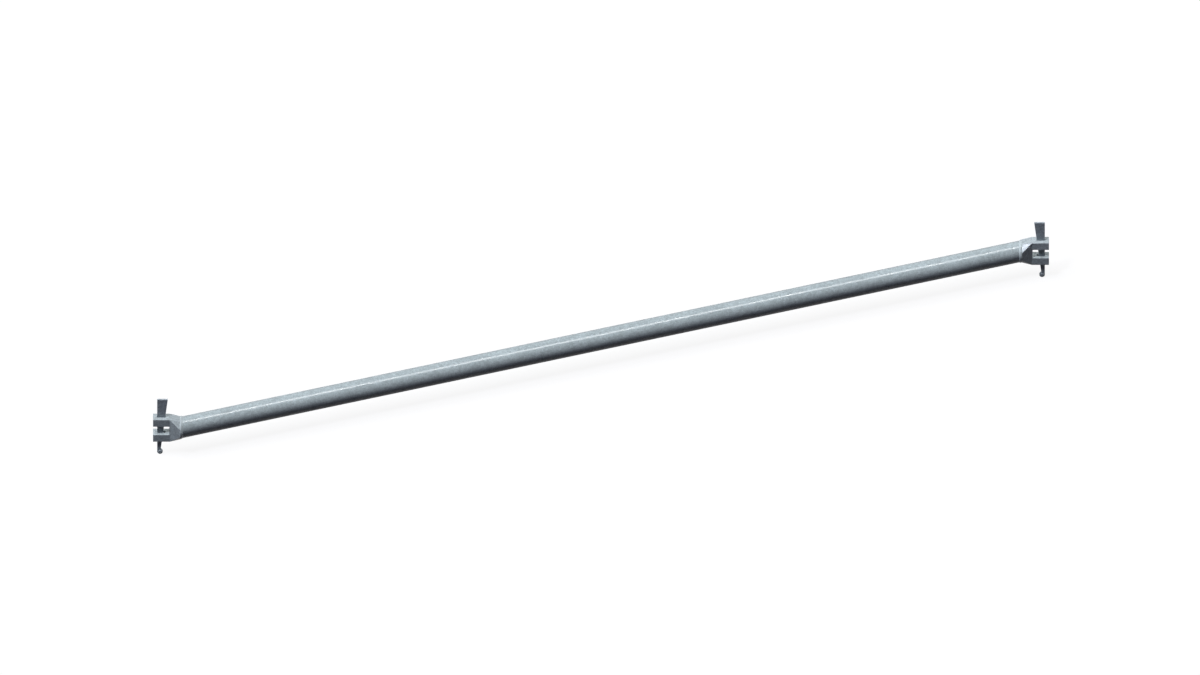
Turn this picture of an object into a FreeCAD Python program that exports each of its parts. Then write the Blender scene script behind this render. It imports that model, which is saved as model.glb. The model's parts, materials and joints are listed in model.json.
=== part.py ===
import FreeCAD, Part
import Sketcher
import os

# Horizontal diagonal brace of a ring scaffold, in millimetres.
# A galvanised tube runs corner to corner across one bay. Each end has a cast head with two jaws,
# which slip over the ring on an upright, and a captive wedge, which drops through jaws and ring.
# The origin is the middle of the tube, +X is the direction that the heads point along, +Z is up.
# Each head is drawn about the axis of the upright that it grips, with its own +X into the bay.

SIZES = {
    "bay_length": "2072",
    "bay_width": "732",
    "upright_diameter": "48.3",
    "tube_diameter": "48.3",
    "tube_wall": "3.2",
    "drain_diameter": "10",
    "drain_inset": "90",
    "head_width": "27",
    "head_height": "60",
    "head_bevel": "1.2",
    "ring_gap": "22",
    "gap_length": "37.4",
    "gap_corner_radius": "3",
    "jaw_length": "38.4",
    "neck_length": "22.5",
    "neck_ledge": "0.4",
    "wedge_inset": "9.4",
    "wedge_seat_width": "18.4",
    "wedge_taper": "6.8",
    "wedge_thickness": "5",
    "wedge_rise": "46.5",
    "wedge_clearance": "0.3",
    "side_clearance": "0.5",
    "nose_drop": "32.7",
    "nose_radius": "6.3",
    "rivet_shank_diameter": "5",
    "rivet_head_diameter": "8.4",
    "rivet_head_height": "1.5",
    "rivet_head_bevel": "0.5",
    "weld_height": "1.8",
    "weld_width": "6.5",
}

# Places that follow from the sizes, as expressions in the sheet's terms
MOUTH = "(dims.upright_diameter / 2)"
JAW_END = f"({MOUTH} + dims.jaw_length)"
NECK_END = f"({JAW_END} + dims.neck_length)"
GAP_END = f"({MOUTH} + dims.gap_length)"
TUBE_SPAN = f"(dims.bay_length - 2 * {NECK_END})"
TUBE_TURN = f"atan(dims.bay_width / {TUBE_SPAN})"
TUBE_RADIUS = "(dims.tube_diameter / 2)"
TUBE_HALF = f"({TUBE_SPAN} / 2 / cos({TUBE_TURN}))"
MITRE_LEAN = f"(dims.tube_diameter * tan({TUBE_TURN}))"
HALF_HEIGHT = "(dims.head_height / 2)"
WEDGE_OUTER = f"({MOUTH} + dims.wedge_inset)"
WEDGE_SEAT = f"({WEDGE_OUTER} + dims.wedge_seat_width)"
NOSE_X = f"({WEDGE_OUTER} + dims.nose_radius)"
NOSE_Z = f"(-{HALF_HEIGHT} - dims.nose_drop)"

# The two heads face opposite corners of the bay, half a turn apart
SIDES = {
    "left": "placement(vector(-dims.bay_length / 2; -dims.bay_width / 2; 0); rotationz(0))",
    "right": "placement(vector(dims.bay_length / 2; dims.bay_width / 2; 0); rotationz(180))",
}

doc = FreeCAD.newDocument("DiagonalBrace")
dims = doc.addObject("Spreadsheet::Sheet", "dims")
for row, (alias, text) in enumerate(SIZES.items(), start=1):
    dims.set(f"A{row}", alias)
    dims.set(f"B{row}", text)
    dims.setAlias(f"B{row}", alias)
doc.recompute()


def value(expression):
    """What an expression comes to, to start a sketch at its true shape."""
    result = dims.evalExpression(expression)
    return float(getattr(result, "Value", result))


def new_body(label, placement):
    body = doc.addObject("PartDesign::Body", label)
    body.Label = label
    body.setExpression("Placement", placement)
    return body


def origin_feature(body, role):
    return next(item for item in body.Origin.OriginFeatures if item.Role == role)


def new_sketch(body, name, plane_role, turn="rotationz(0)"):
    """A sketch on one of the body's own planes, turned about the body's origin if asked."""
    sketch = body.newObject("Sketcher::SketchObject", name)
    sketch.AttachmentSupport = [(origin_feature(body, plane_role), "")]
    sketch.MapMode = "FlatFace"
    sketch.setExpression("AttachmentOffset", f"placement(vector(0; 0; 0); {turn})")
    doc.recompute()
    return sketch


def drive(sketch, name, expression, kind, *where):
    """Add a constraint of the given kind and bind it to an expression."""
    index = sketch.addConstraint(Sketcher.Constraint(kind, *where, value(expression)))
    sketch.renameConstraint(index, name)
    sketch.setExpression(f"Constraints.{name}", expression)


def draw_outline(sketch, corners):
    """Draw a closed outline of straight lines whose corners are placed from the sketch's origin."""
    points = [FreeCAD.Vector(value(x), value(y), 0) for x, y in corners]
    for start, end in zip(points, points[1:] + points[:1]):
        sketch.addGeometry(Part.LineSegment(start, end), False)
    for number, (x, y) in enumerate(corners):
        following = (number + 1) % len(corners)
        sketch.addConstraint(Sketcher.Constraint("Coincident", number, 2, following, 1))
        drive(sketch, f"corner_{number}_x", x, "DistanceX", -1, 1, number, 1)
        drive(sketch, f"corner_{number}_y", y, "DistanceY", -1, 1, number, 1)


def rectangle(x_low, x_high, y_low, y_high):
    return [(x_low, y_low), (x_high, y_low), (x_high, y_high), (x_low, y_high)]


def draw_circle(sketch, name, radius, x="0", y="0"):
    center = FreeCAD.Vector(value(x), value(y), 0)
    number = sketch.addGeometry(Part.Circle(center, FreeCAD.Vector(0, 0, 1), value(radius)), False)
    drive(sketch, f"{name}_radius", radius, "Radius", number)
    drive(sketch, f"{name}_x", x, "DistanceX", -1, 1, number, 3)
    drive(sketch, f"{name}_y", y, "DistanceY", -1, 1, number, 3)


def add_pad(body, name, profile, length):
    """Fill a profile to a length that lies half on each side of its plane."""
    pad = body.newObject("PartDesign::Pad", name)
    pad.Profile = profile
    pad.SideType = "Symmetric"
    pad.setExpression("Length", length)
    doc.recompute()


def add_pocket(body, name, profile, side_type="Symmetric"):
    """Cut right through, both ways or only downwards, and stop if nothing was cut."""
    volume_before = body.Shape.Volume
    pocket = body.newObject("PartDesign::Pocket", name)
    pocket.Profile = profile
    pocket.Type = "ThroughAll"
    pocket.SideType = side_type
    doc.recompute()
    if body.Shape.Volume >= volume_before:
        raise RuntimeError(f"{body.Label}: {name} cuts nothing")
    return pocket


def add_half_turn(body, name, originals, axis_role):
    """Repeat some features half a turn away about one of the body's own axes."""
    pattern = body.newObject("PartDesign::PolarPattern", name)
    pattern.Originals = originals
    pattern.Axis = (origin_feature(body, axis_role), [""])
    pattern.Angle = 360
    pattern.Occurrences = 2
    body.Tip = pattern
    doc.recompute()


def make_tube():
    """The tube, its ends mitred to lie flat on the backs of the two heads."""
    tube = new_body("brace_tube", f"placement(vector(0; 0; 0); rotationz({TUBE_TURN}))")
    ring = new_sketch(tube, "tube_ring", "YZ_Plane")
    draw_circle(ring, "outer", TUBE_RADIUS)
    draw_circle(ring, "inner", f"{TUBE_RADIUS} - dims.tube_wall")
    add_pad(tube, "tube_blank", ring, f"2 * {TUBE_HALF} + 2 * {MITRE_LEAN}")

    # The mitre is square to the heads, so in the tube's own frame it leans by the tube's turn
    beyond = f"{TUBE_HALF} + 2 * {MITRE_LEAN}"
    outline = new_sketch(tube, "mitre_outline", "XY_Plane")
    draw_outline(outline, [
        (f"{TUBE_HALF} - {MITRE_LEAN}", "-dims.tube_diameter"),
        (beyond, "-dims.tube_diameter"),
        (beyond, "dims.tube_diameter"),
        (f"{TUBE_HALF} + {MITRE_LEAN}", "dims.tube_diameter"),
    ])
    mitre = add_pocket(tube, "mitre", outline)

    # A drain hole through the lower wall near each end, where zinc runs out of the closed tube
    drain = new_sketch(tube, "drain_outline", "XY_Plane")
    draw_circle(drain, "drain", "dims.drain_diameter / 2", f"{TUBE_HALF} - dims.drain_inset")
    hole = add_pocket(tube, "drain_hole", drain, "One side")

    add_half_turn(tube, "other_end", [mitre, hole], "Z_Axis")
    return tube


def make_head(side):
    """A cast head: two jaws, a gap for the ring, holes for the wedge and a neck down to the tube."""
    head = new_body(f"{side}_head", SIDES[side])
    half_width = "(dims.head_width / 2)"

    # The neck ends as an octagon that just covers the tube's mitre, wider than high by the turn
    neck_half_height = f"({TUBE_RADIUS} + dims.neck_ledge)"
    neck_half_width = f"({neck_half_height} / cos({TUBE_TURN}))"
    plan = new_sketch(head, f"{side}_plan", "XY_Plane")
    near_side = [(MOUTH, f"-{half_width}"), (JAW_END, f"-{half_width}"), (NECK_END, f"-{neck_half_width}")]
    far_side = [(NECK_END, neck_half_width), (JAW_END, half_width), (MOUTH, half_width)]
    draw_outline(plan, near_side + far_side)
    add_pad(head, f"{side}_block", plan, "dims.head_height")
    slope = new_sketch(head, f"{side}_slope_outline", "XZ_Plane")
    draw_outline(slope, [(JAW_END, HALF_HEIGHT), (NECK_END, neck_half_height), (NECK_END, HALF_HEIGHT)])
    cuts = [add_pocket(head, f"{side}_slope", slope)]

    # Each long corner is cut off by a small bevel on the jaws and by a widening flat on the neck.
    # The cuts' sketches lie across the corners, with their own Y square to the octagon's sides.
    corner_lean = f"atan(1 / cos({TUBE_TURN}))"
    bevel_start = f"({HALF_HEIGHT} - dims.head_bevel)"
    flat_start = f"({neck_half_height} * tan(22.5))"
    bevel_height = f"({half_width} * cos({corner_lean}) + {bevel_start} * sin({corner_lean}))"
    flat_height = f"({neck_half_width} * cos({corner_lean}) + {flat_start} * sin({corner_lean}))"
    outside = "dims.head_height"
    for name, lean in (("upper", corner_lean), ("lower", f"-{corner_lean}")):
        corner = new_sketch(head, f"{side}_{name}_corner_outline", "XY_Plane", f"rotationx({lean})")
        draw_outline(corner, [
            ("0", bevel_height), (JAW_END, bevel_height), (NECK_END, flat_height),
            (NECK_END, outside), ("0", outside),
        ])
        cuts.append(add_pocket(head, f"{side}_{name}_corner", corner))
    add_half_turn(head, f"{side}_opposite_cuts", cuts, "X_Axis")

    gap = new_sketch(head, f"{side}_ring_gap_outline", "XZ_Plane")
    draw_outline(gap, rectangle("0", GAP_END, "-dims.ring_gap / 2", "dims.ring_gap / 2"))
    add_pocket(head, f"{side}_ring_gap", gap)

    # Both jaws have the wedge's hole. The lower one has a notch, so that the rivet can rise into the gap.
    hole_start = f"{WEDGE_OUTER} - dims.wedge_clearance"
    hole_end = f"{WEDGE_SEAT} + dims.wedge_clearance"
    half_slot = "(dims.wedge_thickness / 2 + dims.side_clearance)"
    wedge_hole = new_sketch(head, f"{side}_wedge_hole_outline", "XY_Plane")
    draw_outline(wedge_hole, rectangle(hole_start, hole_end, f"-{half_slot}", half_slot))
    add_pocket(head, f"{side}_wedge_hole", wedge_hole)
    way_half_length = "(dims.rivet_head_diameter / 2 + dims.side_clearance)"
    way_half_width = f"({half_slot} + dims.rivet_head_height)"
    rivet_way = new_sketch(head, f"{side}_rivet_way_outline", "XY_Plane")
    draw_outline(rivet_way, rectangle(
        f"{NOSE_X} - {way_half_length}", f"{NOSE_X} + {way_half_length}",
        f"-{way_half_width}", way_half_width))
    add_pocket(head, f"{side}_rivet_way", rivet_way, "One side")

    # The gap's two inner corners are round, as cast
    cast = head.Tip
    near = 0.01
    corners = []
    for number, edge in enumerate(cast.Shape.Edges, start=1):
        middle = edge.CenterOfMass
        at_end = abs(middle.x - value(GAP_END)) < near and abs(middle.y) < near
        if at_end and abs(abs(middle.z) - value("dims.ring_gap / 2")) < near:
            corners.append(f"Edge{number}")
    rounding = head.newObject("PartDesign::Fillet", f"{side}_gap_corners")
    rounding.Base = (cast, corners)
    rounding.setExpression("Radius", "dims.gap_corner_radius")
    doc.recompute()
    return head


def make_wedge(side):
    """The wedge: one straight edge, one tapering edge, and a round nose for the rivet."""
    wedge = new_body(f"{side}_wedge", SIDES[side])
    top = f"({HALF_HEIGHT} + dims.wedge_rise)"
    blade = new_sketch(wedge, f"{side}_blade_outline", "XZ_Plane")
    draw_outline(blade, [
        (WEDGE_OUTER, NOSE_Z),
        (f"{WEDGE_SEAT} - ({HALF_HEIGHT} - {NOSE_Z}) * tan(dims.wedge_taper)", NOSE_Z),
        (f"{WEDGE_SEAT} + dims.wedge_rise * tan(dims.wedge_taper)", top),
        (WEDGE_OUTER, top),
    ])
    add_pad(wedge, f"{side}_blade", blade, "dims.wedge_thickness")
    nose = new_sketch(wedge, f"{side}_nose_outline", "XZ_Plane")
    draw_circle(nose, "nose", "dims.nose_radius", NOSE_X, NOSE_Z)
    add_pad(wedge, f"{side}_nose", nose, "dims.wedge_thickness")
    bore = new_sketch(wedge, f"{side}_rivet_bore_outline", "XZ_Plane")
    draw_circle(bore, "bore", "dims.rivet_shank_diameter / 2", NOSE_X, NOSE_Z)
    add_pocket(wedge, f"{side}_rivet_bore", bore)
    return wedge


def make_rivet(side):
    """The rivet in the wedge's nose: too long for the upper hole, it keeps the wedge in the head."""
    place = f"{SIDES[side]} * placement(vector({NOSE_X}; 0; {NOSE_Z}); rotationz(0))"
    rivet = new_body(f"{side}_wedge_rivet", place)
    grip = "(dims.wedge_thickness / 2)"
    end = f"({grip} + dims.rivet_head_height)"
    crown = "(dims.rivet_head_diameter / 2)"
    near_half = [
        ("dims.rivet_shank_diameter / 2", grip),
        (crown, grip),
        (crown, f"{end} - dims.rivet_head_bevel"),
        (f"{crown} - dims.rivet_head_bevel", end),
        ("0", end),
    ]
    section = new_sketch(rivet, f"{side}_rivet_section", "XY_Plane")
    draw_outline(section, near_half + [(r, f"-({y})") for r, y in reversed(near_half)])
    turned = rivet.newObject("PartDesign::Revolution", f"{side}_rivet_turned")
    turned.Profile = section
    turned.ReferenceAxis = (section, ["V_Axis"])
    turned.Angle = 360
    doc.recompute()
    return rivet


def make_weld(side):
    """The weld bead: a ring round the tube, laid against the back of the head."""
    joint = f"placement(vector({NECK_END}; 0; 0); rotationz({TUBE_TURN}) * rotationy(90))"
    along_tube = f"{SIDES[side]} * {joint} * placement(vector(0; 0; -{MITRE_LEAN}); rotationz(0))"
    cylinders = []
    for name, radius in (("face", f"{TUBE_RADIUS} + dims.weld_height"), ("root", TUBE_RADIUS)):
        cylinder = doc.addObject("Part::Cylinder", f"{side}_weld_{name}")
        cylinder.setExpression("Radius", radius)
        cylinder.setExpression("Height", f"2 * {MITRE_LEAN} + 2 * dims.weld_width")
        cylinder.setExpression("Placement", along_tube)
        cylinders.append(cylinder)
    ring = doc.addObject("Part::Cut", f"{side}_weld_ring")
    ring.Base, ring.Tool = cylinders
    slab = doc.addObject("Part::Box", f"{side}_weld_slab")
    slab.setExpression("Length", "dims.weld_width")
    slab.setExpression("Width", "2 * dims.tube_diameter")
    slab.setExpression("Height", "2 * dims.tube_diameter")
    corner = f"placement(vector({NECK_END}; -dims.tube_diameter; -dims.tube_diameter); rotationz(0))"
    slab.setExpression("Placement", f"{SIDES[side]} * {corner}")
    weld = doc.addObject("Part::MultiCommon", f"{side}_weld")
    weld.Label = f"{side}_weld"
    weld.Shapes = [ring, slab]
    doc.recompute()
    return weld


parts = [make_tube()]
for side in SIDES:
    parts += [make_head(side), make_wedge(side), make_rivet(side), make_weld(side)]
doc.recompute()

for item in doc.Objects:
    if "Invalid" in item.State or "Error" in item.State:
        raise RuntimeError(f"{item.Label} failed: {item.State}")
for part in parts:
    if part.Shape.isNull() or not part.Shape.isValid():
        raise RuntimeError(f"{part.Label} has no valid shape")
    if len(part.Shape.Solids) != 1:
        raise RuntimeError(f"{part.Label} is {len(part.Shape.Solids)} solids")

os.makedirs("parts", exist_ok=True)
for part in parts:
    part.Shape.exportStep(f"parts/{part.Label}.step")
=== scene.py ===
import json
import math

import bmesh
import bpy
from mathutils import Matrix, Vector


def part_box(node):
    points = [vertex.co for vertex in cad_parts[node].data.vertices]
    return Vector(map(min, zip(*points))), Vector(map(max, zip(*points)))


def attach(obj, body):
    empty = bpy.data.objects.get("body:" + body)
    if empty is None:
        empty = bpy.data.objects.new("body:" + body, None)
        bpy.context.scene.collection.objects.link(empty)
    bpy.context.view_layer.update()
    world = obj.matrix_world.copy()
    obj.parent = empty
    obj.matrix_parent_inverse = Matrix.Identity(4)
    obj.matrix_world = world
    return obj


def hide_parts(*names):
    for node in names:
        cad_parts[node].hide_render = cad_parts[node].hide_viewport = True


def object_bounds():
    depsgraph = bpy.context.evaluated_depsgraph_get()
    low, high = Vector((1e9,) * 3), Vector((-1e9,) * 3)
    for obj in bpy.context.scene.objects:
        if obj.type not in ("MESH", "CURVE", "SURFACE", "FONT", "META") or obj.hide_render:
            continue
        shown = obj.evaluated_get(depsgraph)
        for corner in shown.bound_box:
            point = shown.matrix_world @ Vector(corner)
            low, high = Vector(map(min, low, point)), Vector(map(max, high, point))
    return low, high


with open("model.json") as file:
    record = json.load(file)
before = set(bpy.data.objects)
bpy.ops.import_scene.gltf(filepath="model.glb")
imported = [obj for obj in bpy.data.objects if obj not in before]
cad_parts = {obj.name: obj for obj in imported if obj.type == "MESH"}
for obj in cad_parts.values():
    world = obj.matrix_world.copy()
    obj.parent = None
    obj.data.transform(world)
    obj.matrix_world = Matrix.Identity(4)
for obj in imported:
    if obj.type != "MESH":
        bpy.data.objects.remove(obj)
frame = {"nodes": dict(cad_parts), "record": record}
cad_box = [list(corner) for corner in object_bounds()]
nodes = frame["nodes"]
scene = bpy.context.scene
SLOTS = {item["node"]: item["material_slot"] for item in frame["record"]["subparts"]}

# All lengths are in metres.

# Rounded edges: their radius and steps, and what counts as one point, one flat or a sharp edge
HEAD_EDGE = 0.0007
WEDGE_EDGE = 0.0005
EDGE_STEPS = 3
SAME_POINT = 0.000001
FLAT_ANGLE = math.radians(0.3)
SHARP_ANGLE = math.radians(25.0)

# Sizes that the weld beads share with the part's source
TUBE_RADIUS = 0.02415
WELD_HEIGHT = 0.0018
WELD_WIDTH = 0.0065

# The weld bead's mesh, and how far its inner wall is sunk into the tube
BEAD_AROUND = 480
BEAD_ACROSS = 12
BEAD_SUNK = 0.0002

# The bead's section: a foot against the head, and a crown whose top is a little nearer to the head
BEAD_FOOT = 0.4
BEAD_CROWN = 0.75
BEAD_SKEW = 0.85

# The bead's ripples: their number, how far they bow and lean, and their share of the height
RIPPLES = 78
RIPPLE_BOW = 1.6
RIPPLE_LEAN = 0.7
RIPPLE_SHARE = 0.12
PLAIN_SHARE = 0.82

# The bead's slow waver round the tube: its share, and each wave's size, number and start
WAVER_SHARE = 0.035
WAVERS = ((1.0, 5, 1.0), (0.6, 11, 2.3))

# How early the shade starts where a surface turns from a lamp. It deepens the sides, and on the tube
# it hides the hard line that long facets show where the light ends.
TUBE_SHADE = 0.16
HEAD_SHADE = 0.1

# Zinc colour: each pattern's two stops, as the pattern's value and the brightness there
CRYSTAL_STOPS = ((0.0, 0.78), (1.0, 1.0))
CLOUD_STOPS = ((0.3, 0.88), (0.7, 1.0))
GRAIN_STOPS = ((0.3, 0.72), (0.68, 1.0))
RUN_STOPS = ((0.35, 0.7), (0.6, 1.0))

# Zinc patterns, in waves to a metre. Runs are drawn out along Z, so that they hang down the sides.
CLOUD_WAVES = 9.0
RUN_WAVES = 110.0
RUN_STRETCH = (1.0, 1.0, 0.12)
SWELL_WAVES = 14.0

# The noise that bends the crystals' borders: waves to a crystal, and its reach as a share of a crystal
BORDER_WAVES = 1.5
BORDER_BEND = 0.6

# Worn edges: the radius and samples that find them, how much brighter they are, and two stops: how
# well the rounded normal agrees with the true one, and the share of worn colour there
WORN_RADIUS = 0.0012
WORN_SAMPLES = 4
WORN_GAIN = 1.25
WORN_STOPS = ((0.86, 0.4), (0.995, 0.0))

# Zinc gloss: weak, because weathered zinc is a dull mineral skin, and uneven by crystal and grain
ZINC_SPECULAR = 0.19
CRYSTAL_DULL = 0.14
GRAIN_DULL = 0.12

# Zinc relief: the slow swell's depth, and the strength of swell and grain
SWELL_DEPTH = 0.004
BUMP_STRENGTH = 0.5

LOOKS = {
    "galvanised_tube": {
        "colour": (0.57, 0.665, 0.675),
        "roughness": 0.15,
        "crystal_size": 0.005,
        "grain_size": 0.0022,
        "grain_depth": 0.0002,
        "runs_share": 0.15,
    },
    "galvanised_casting": {
        "colour": (0.565, 0.645, 0.66),
        "roughness": 0.15,
        "crystal_size": 0.004,
        "grain_size": 0.0026,
        "grain_depth": 0.00015,
        "runs_share": 0.25,
    },
    "wedge_steel": {
        "colour": (0.495, 0.565, 0.60),
        "roughness": 0.24,
        "crystal_size": 0.005,
        "grain_size": 0.0022,
        "grain_depth": 0.0002,
        "runs_share": 0.35,
    },
    "rivet_steel": {
        "colour": (0.48, 0.55, 0.57),
        "roughness": 0.26,
        "crystal_size": 0.004,
        "grain_size": 0.0018,
        "grain_depth": 0.0002,
        "runs_share": 0.1,
    },
    # The weld's zinc is set paler than the tube's and the heads': a painted highlight that brightens the
    # bead in the corner, where it faces away from the lamps
    "weld_bead": {
        "colour": (0.66, 0.75, 0.76),
        "roughness": 0.20,
        "crystal_size": 0.004,
        "grain_size": 0.0016,
        "grain_depth": 0.0002,
        "runs_share": 0.2,
    },
}

# The floor: half its width, how far it lies below the part, its own white and the tone that takes shadow
FLOOR_HALF = 30.0
FLOOR_DROP = 0.0005
FLOOR_GLOW = 0.83
FLOOR_TONE = 0.16

# Colours of the lamps and the world
WHITE = (1.0, 1.0, 1.0)
BLACK = (0.0, 0.0, 0.0)
COOL = (0.84, 0.88, 1.0)
AMBIENT = (0.023, 0.022, 0.048)

# The photograph's view: along the part's Y axis and from above, without perspective
VIEW_ELEVATION = math.radians(33.06)
VIEW_WIDTH = 2.7103
VIEW_CENTER_RIGHT = -0.00226
VIEW_CENTER_UP = 0.00407
VIEW_DISTANCE = 6.0

# Places of a colour mix node's sockets, which share their names with those for other kinds of value
MIX_FACTOR = 0
MIX_FIRST = 6
MIX_SECOND = 7
MIX_RESULT = 2


def empty_tree(owner):
    """The shader nodes of a material or world, with the default ones taken out."""
    owner.use_nodes = True
    owner.node_tree.nodes.clear()
    return owner.node_tree


def add_node(tree, kind, inputs=None, **settings):
    """Add a shader node; an input is a value, or the output socket of another node."""
    node = tree.nodes.new(kind)
    for name, value in settings.items():
        setattr(node, name, value)
    for name, value in (inputs or {}).items():
        socket = node.inputs[name]
        if isinstance(value, bpy.types.NodeSocket):
            tree.links.new(value, socket)
        else:
            socket.default_value = value
    return node


def math_node(tree, operation, *values):
    """The result of a math node."""
    return add_node(tree, "ShaderNodeMath", dict(enumerate(values)), operation=operation).outputs[0]


def noise(tree, place, waves, detail, roughness=0.5):
    """A noise node; its first output runs from 0 to 1."""
    inputs = {"Vector": place, "Scale": waves, "Detail": detail, "Roughness": roughness}
    return add_node(tree, "ShaderNodeTexNoise", inputs)


def ramp(tree, factor, stops):
    """A ramp between two stops, each a value of the factor and the brightness there."""
    node = add_node(tree, "ShaderNodeValToRGB", {"Fac": factor})
    for element, (position, brightness) in zip(node.color_ramp.elements, stops):
        element.position = position
        element.color = (brightness, brightness, brightness, 1.0)
    return node.outputs["Color"]


def mix_colour(tree, factor, first, second, blend="MIX"):
    """Mix two colours, each a value or a socket."""
    inputs = {MIX_FACTOR: factor, MIX_FIRST: first, MIX_SECOND: second}
    node = add_node(tree, "ShaderNodeMix", inputs, data_type="RGBA", blend_type=blend)
    return node.outputs[MIX_RESULT]


def darken(tree, colour, pattern, stops, share=1.0):
    """Darken a colour by a pattern that goes through a ramp."""
    return mix_colour(tree, share, colour, ramp(tree, pattern, stops), "MULTIPLY")


def crystal_values(tree, place, size):
    """One random value for each crystal, with the borders between them bent by a little noise."""
    wobble = noise(tree, place, BORDER_WAVES / size, detail=2.0).outputs["Color"]
    bend = {0: wobble, "Scale": BORDER_BEND * size}
    shift = add_node(tree, "ShaderNodeVectorMath", bend, operation="SCALE").outputs[0]
    bent = add_node(tree, "ShaderNodeVectorMath", {0: place, 1: shift}, operation="ADD").outputs[0]
    cells = add_node(tree, "ShaderNodeTexVoronoi", {"Vector": bent, "Scale": 1.0 / size})
    return add_node(tree, "ShaderNodeSeparateColor", {"Color": cells.outputs["Color"]}).outputs[0]


def worn_edges(tree):
    """How far the zinc is rubbed bright: more where a rounded normal leaves the true one."""
    rounded = add_node(tree, "ShaderNodeBevel", {"Radius": WORN_RADIUS}, samples=WORN_SAMPLES).outputs[0]
    true_normal = add_node(tree, "ShaderNodeNewGeometry").outputs["Normal"]
    agree = add_node(tree, "ShaderNodeVectorMath", {0: rounded, 1: true_normal}, operation="DOT_PRODUCT")
    return ramp(tree, agree.outputs["Value"], WORN_STOPS)


def zinc(name, colour, roughness, crystal_size, grain_size, grain_depth, runs_share):
    """Hot-dip zinc: crystals of slightly different greys, clouds, a fine grain, runs and worn edges."""
    material = bpy.data.materials.new(name)
    tree = empty_tree(material)
    place = add_node(tree, "ShaderNodeTexCoord").outputs["Object"]
    crystal = crystal_values(tree, place, crystal_size)
    cloud = noise(tree, place, CLOUD_WAVES, detail=5.0, roughness=0.6).outputs[0]
    grain = noise(tree, place, 1.0 / grain_size, detail=4.0).outputs[0]
    tall = add_node(tree, "ShaderNodeMapping", {"Vector": place, "Scale": RUN_STRETCH}).outputs[0]
    runs = noise(tree, tall, RUN_WAVES, detail=3.0).outputs[0]

    tint = darken(tree, (*colour, 1.0), crystal, CRYSTAL_STOPS)
    tint = darken(tree, tint, cloud, CLOUD_STOPS)
    tint = darken(tree, tint, grain, GRAIN_STOPS)
    tint = darken(tree, tint, runs, RUN_STOPS, runs_share)
    worn = [min(1.0, WORN_GAIN * part) for part in colour]
    tint = mix_colour(tree, worn_edges(tree), tint, (*worn, 1.0))

    dull = math_node(tree, "MULTIPLY_ADD", crystal, CRYSTAL_DULL, roughness - CRYSTAL_DULL / 2)
    dull = math_node(tree, "MULTIPLY_ADD", grain, GRAIN_DULL, dull)

    slow = noise(tree, place, SWELL_WAVES, detail=2.5, roughness=0.45).outputs[0]
    swell = add_node(tree, "ShaderNodeBump", {
        "Height": slow,
        "Distance": SWELL_DEPTH,
        "Strength": BUMP_STRENGTH,
    })
    skin = add_node(tree, "ShaderNodeBump", {
        "Height": grain,
        "Distance": grain_depth,
        "Strength": BUMP_STRENGTH,
        "Normal": swell.outputs[0],
    })
    shader = add_node(tree, "ShaderNodeBsdfPrincipled", {
        "Base Color": tint,
        "Metallic": 0.0,
        "Specular IOR Level": ZINC_SPECULAR,
        "Roughness": dull,
        "Normal": skin.outputs[0],
    })
    add_node(tree, "ShaderNodeOutputMaterial", {"Surface": shader.outputs[0]})
    return material


def add_piece(name, mesh, body, node):
    """Put a mesh into the scene as a piece that rides on a body and stands for a CAD node."""
    piece = bpy.data.objects.new(name, mesh)
    scene.collection.objects.link(piece)
    slot = SLOTS[node]
    mesh.materials.append(finishes[slot])
    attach(piece, body)
    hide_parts(node)
    return piece


def soft_copy(node, body, radius, cover=None):
    """Stand in for a CAD piece with a copy whose sharp edges are rounded, as zinc and wear leave them.

    Edges that lie under the round cover, a node that points along Y, stay sharp.
    """
    shape = bmesh.new()
    shape.from_mesh(nodes[node].data)
    bmesh.ops.remove_doubles(shape, verts=shape.verts, dist=SAME_POINT)
    bmesh.ops.dissolve_limit(shape, angle_limit=FLAT_ANGLE, verts=shape.verts, edges=shape.edges)
    sharp = [edge for edge in shape.edges if edge.calc_face_angle(0.0) > SHARP_ANGLE]
    if cover:
        low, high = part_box(cover)
        middle = (low + high) / 2
        reach = (high.z - low.z) / 2
        sharp = [edge for edge in sharp if (edge.verts[0].co - middle).xz.length > reach]
    bmesh.ops.bevel(
        shape,
        geom=sharp,
        offset=radius,
        offset_type="OFFSET",
        segments=EDGE_STEPS,
        profile=0.5,
        affect="EDGES",
        clamp_overlap=True,
    )
    for face in shape.faces:
        face.smooth = True
    mesh = bpy.data.meshes.new(f"{node}_soft")
    shape.to_mesh(mesh)
    shape.free()
    piece = add_piece(f"{node}_soft", mesh, body, node)
    piece.shadow_terminator_shading_offset = HEAD_SHADE
    # Large faces rule the shading, so that flats stay flat and only the rounded edges bend the light
    piece.modifiers.new("even_shading", "WEIGHTED_NORMAL")


def bead_height(share, angle):
    """The bead's height over the tube, at a share of its width from the head and an angle round it."""
    section = BEAD_FOOT * (1 - share) + BEAD_CROWN * math.sin(math.pi * share ** BEAD_SKEW)
    phase = RIPPLES * angle + RIPPLE_BOW * math.cos(math.pi * (share - 0.5))
    ripple = 0.5 + 0.5 * math.sin(phase + RIPPLE_LEAN * math.sin(phase))
    waver = sum(size * math.sin(number * angle + start) for size, number, start in WAVERS)
    swing = PLAIN_SHARE + RIPPLE_SHARE * ripple + WAVER_SHARE * waver
    return WELD_HEIGHT * min(1.0, section) * swing


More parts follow.
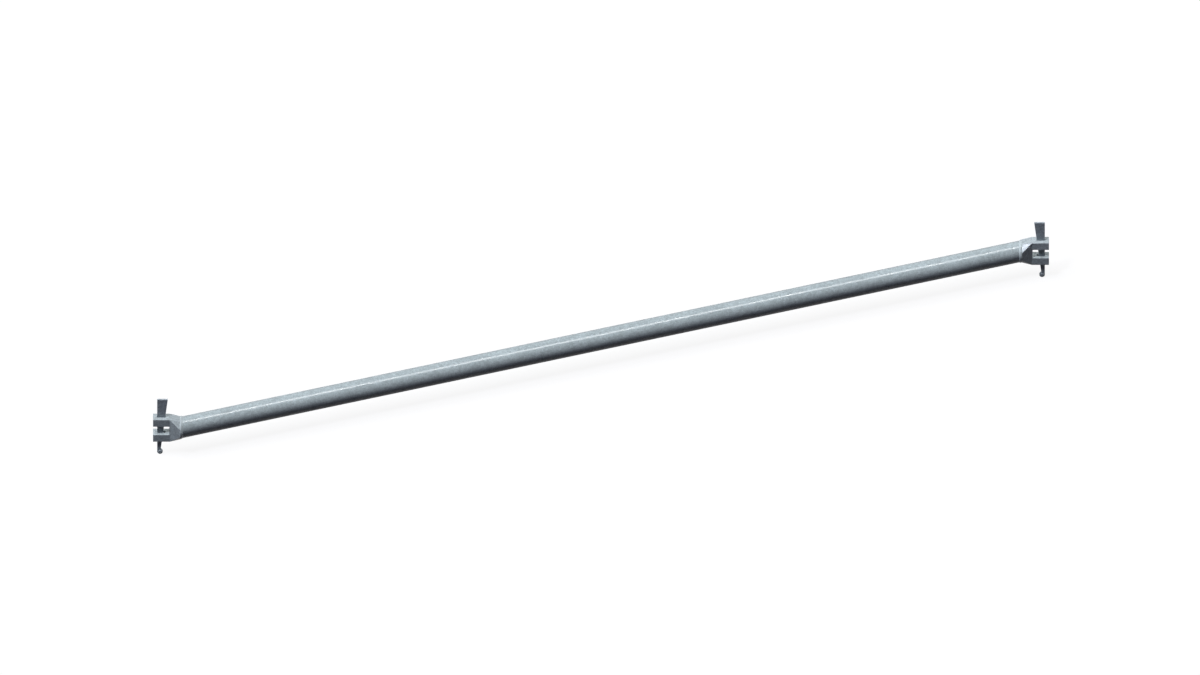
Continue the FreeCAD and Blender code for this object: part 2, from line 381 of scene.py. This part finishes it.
def weld_bead(side):
    """A rippled bead round the tube's mitre, in the place of the plain ring that it replaces.

    It starts a little further back than the ring, to fill the head's rounded edge.
    """
    # The heads point along X, half a turn apart, and the tube leans across from one to the other
    head_low, head_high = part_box(f"{side}_head")
    middle = (head_low + head_high) / 2
    back = head_high.x if side == "left" else head_low.x
    inward = 1.0 if side == "left" else -1.0
    turn = math.atan2(abs(middle.y), abs(back))
    inner = TUBE_RADIUS - BEAD_SUNK

    corners = []
    for around in range(BEAD_AROUND):
        angle = 2 * math.pi * around / BEAD_AROUND
        section = []
        for across in range(BEAD_ACROSS + 1):
            share = across / BEAD_ACROSS
            along = share * WELD_WIDTH - (1 - share) * HEAD_EDGE
            section.append((along, TUBE_RADIUS + bead_height(share, angle)))
        section.append((WELD_WIDTH, inner))
        section.append((-HEAD_EDGE, inner))
        for along, radius in section:
            aside = along * math.tan(turn) + radius * math.cos(angle) / math.cos(turn)
            corner = (back + inward * along, middle.y + inward * aside, radius * math.sin(angle))
            corners.append(corner)

    section_size = BEAD_ACROSS + 3
    faces = []
    for around in range(BEAD_AROUND):
        here = around * section_size
        there = (around + 1) % BEAD_AROUND * section_size
        for step in range(section_size):
            after = (step + 1) % section_size
            faces.append((here + step, there + step, there + after, here + after))

    mesh = bpy.data.meshes.new(f"{side}_weld_bead")
    mesh.from_pydata(corners, [], faces)
    mesh.update()
    mesh.polygons.foreach_set("use_smooth", [True] * len(mesh.polygons))
    add_piece(f"{side}_weld_bead", mesh, "brace", f"{side}_weld")


def seen_directly(tree):
    """1 for rays from the camera, reflections and glass, and 0 for light that spreads."""
    rays = add_node(tree, "ShaderNodeLightPath").outputs
    plain = math_node(tree, "MAXIMUM", rays["Is Camera Ray"], rays["Is Glossy Ray"])
    return math_node(tree, "MAXIMUM", plain, rays["Is Transmission Ray"])


def make_floor():
    """A pale floor under the part. Most of its white is its own, so the shadow stays faint."""
    level = cad_box[0][2] - FLOOR_DROP
    corners = [
        (-FLOOR_HALF, -FLOOR_HALF, level),
        (FLOOR_HALF, -FLOOR_HALF, level),
        (FLOOR_HALF, FLOOR_HALF, level),
        (-FLOOR_HALF, FLOOR_HALF, level),
    ]
    mesh = bpy.data.meshes.new("floor")
    mesh.from_pydata(corners, [], [(0, 1, 2, 3)])
    floor = bpy.data.objects.new("floor", mesh)
    scene.collection.objects.link(floor)

    material = bpy.data.materials.new("floor_white")
    tree = empty_tree(material)
    seen = seen_directly(tree)
    strength = math_node(tree, "MULTIPLY", seen, FLOOR_GLOW)
    glow = add_node(tree, "ShaderNodeEmission", {"Strength": strength})
    tone = mix_colour(tree, seen, (*BLACK, 1.0), (FLOOR_TONE, FLOOR_TONE, FLOOR_TONE, 1.0))
    matt = add_node(tree, "ShaderNodeBsdfDiffuse", {"Color": tone})
    both = add_node(tree, "ShaderNodeAddShader", {0: glow.outputs[0], 1: matt.outputs[0]})
    add_node(tree, "ShaderNodeOutputMaterial", {"Surface": both.outputs[0]})
    mesh.materials.append(material)


def make_world():
    """White where it is seen, and a weak cool light otherwise."""
    world = bpy.data.worlds.new("studio")
    tree = empty_tree(world)
    colour = mix_colour(tree, seen_directly(tree), (*AMBIENT, 1.0), (*WHITE, 1.0))
    sky = add_node(tree, "ShaderNodeBackground", {"Color": colour, "Strength": 1.0})
    add_node(tree, "ShaderNodeOutputWorld", {"Surface": sky.outputs[0]})
    scene.world = world


def add_sun(name, toward, strength, spread, colour, shadow=True):
    """A soft lamp far away, so that both ends of the long part get the same light."""
    lamp = bpy.data.lights.new(name, "SUN")
    lamp.use_shadow = shadow
    lamp.energy = strength
    lamp.angle = math.radians(spread)
    lamp.color = colour
    sun = bpy.data.objects.new(name, lamp)
    sun.rotation_euler = Vector(toward).to_track_quat("Z", "Y").to_euler()
    scene.collection.objects.link(sun)


def make_camera():
    """A camera without perspective, framed as the photograph is."""
    data = bpy.data.cameras.new("camera")
    data.type = "ORTHO"
    data.ortho_scale = VIEW_WIDTH
    camera = bpy.data.objects.new("camera", data)
    right = Vector((1.0, 0.0, 0.0))
    up = Vector((0.0, math.sin(VIEW_ELEVATION), math.cos(VIEW_ELEVATION)))
    back = Vector((0.0, -math.cos(VIEW_ELEVATION), math.sin(VIEW_ELEVATION)))
    camera.location = VIEW_CENTER_RIGHT * right + VIEW_CENTER_UP * up + VIEW_DISTANCE * back
    camera.rotation_euler = (math.pi / 2 - VIEW_ELEVATION, 0.0, 0.0)
    scene.collection.objects.link(camera)
    scene.camera = camera


# The part: finishes on the CAD pieces, then the pieces that stand for some of them
finishes = {name: zinc(name, **look) for name, look in LOOKS.items()}
for node, slot_name in SLOTS.items():
    for slot in nodes[node].material_slots:
        slot.material = finishes[slot_name]
nodes["brace_tube"].shadow_terminator_shading_offset = TUBE_SHADE
for side in ("left", "right"):
    weld_bead(side)
    soft_copy(f"{side}_head", "brace", HEAD_EDGE)
    soft_copy(f"{side}_wedge", f"{side}_wedge_body", WEDGE_EDGE, f"{side}_wedge_rivet")

# The studio. Two lamps are fills without a shadow: the strip draws the bright line along the tube, and
# the back one keeps the far side from going dark.
make_floor()
make_world()
add_sun("key", toward=(-0.36, -0.10, 0.93), strength=1.2, spread=36.0, colour=WHITE)
add_sun("strip", toward=(0.29, 0.04, 0.95), strength=1.5, spread=13.0, colour=WHITE, shadow=False)
add_sun("front", toward=(-0.40, -0.43, 0.81), strength=1.15, spread=9.0, colour=(0.83, 0.86, 1.0))
add_sun("side", toward=(-0.80, -0.20, 0.55), strength=0.42, spread=20.0, colour=COOL)
add_sun("back", toward=(0.10, 0.93, -0.33), strength=0.3, spread=20.0, colour=COOL, shadow=False)
make_camera()
scene.view_settings.view_transform = "Standard"

bpy.context.view_layer.update()
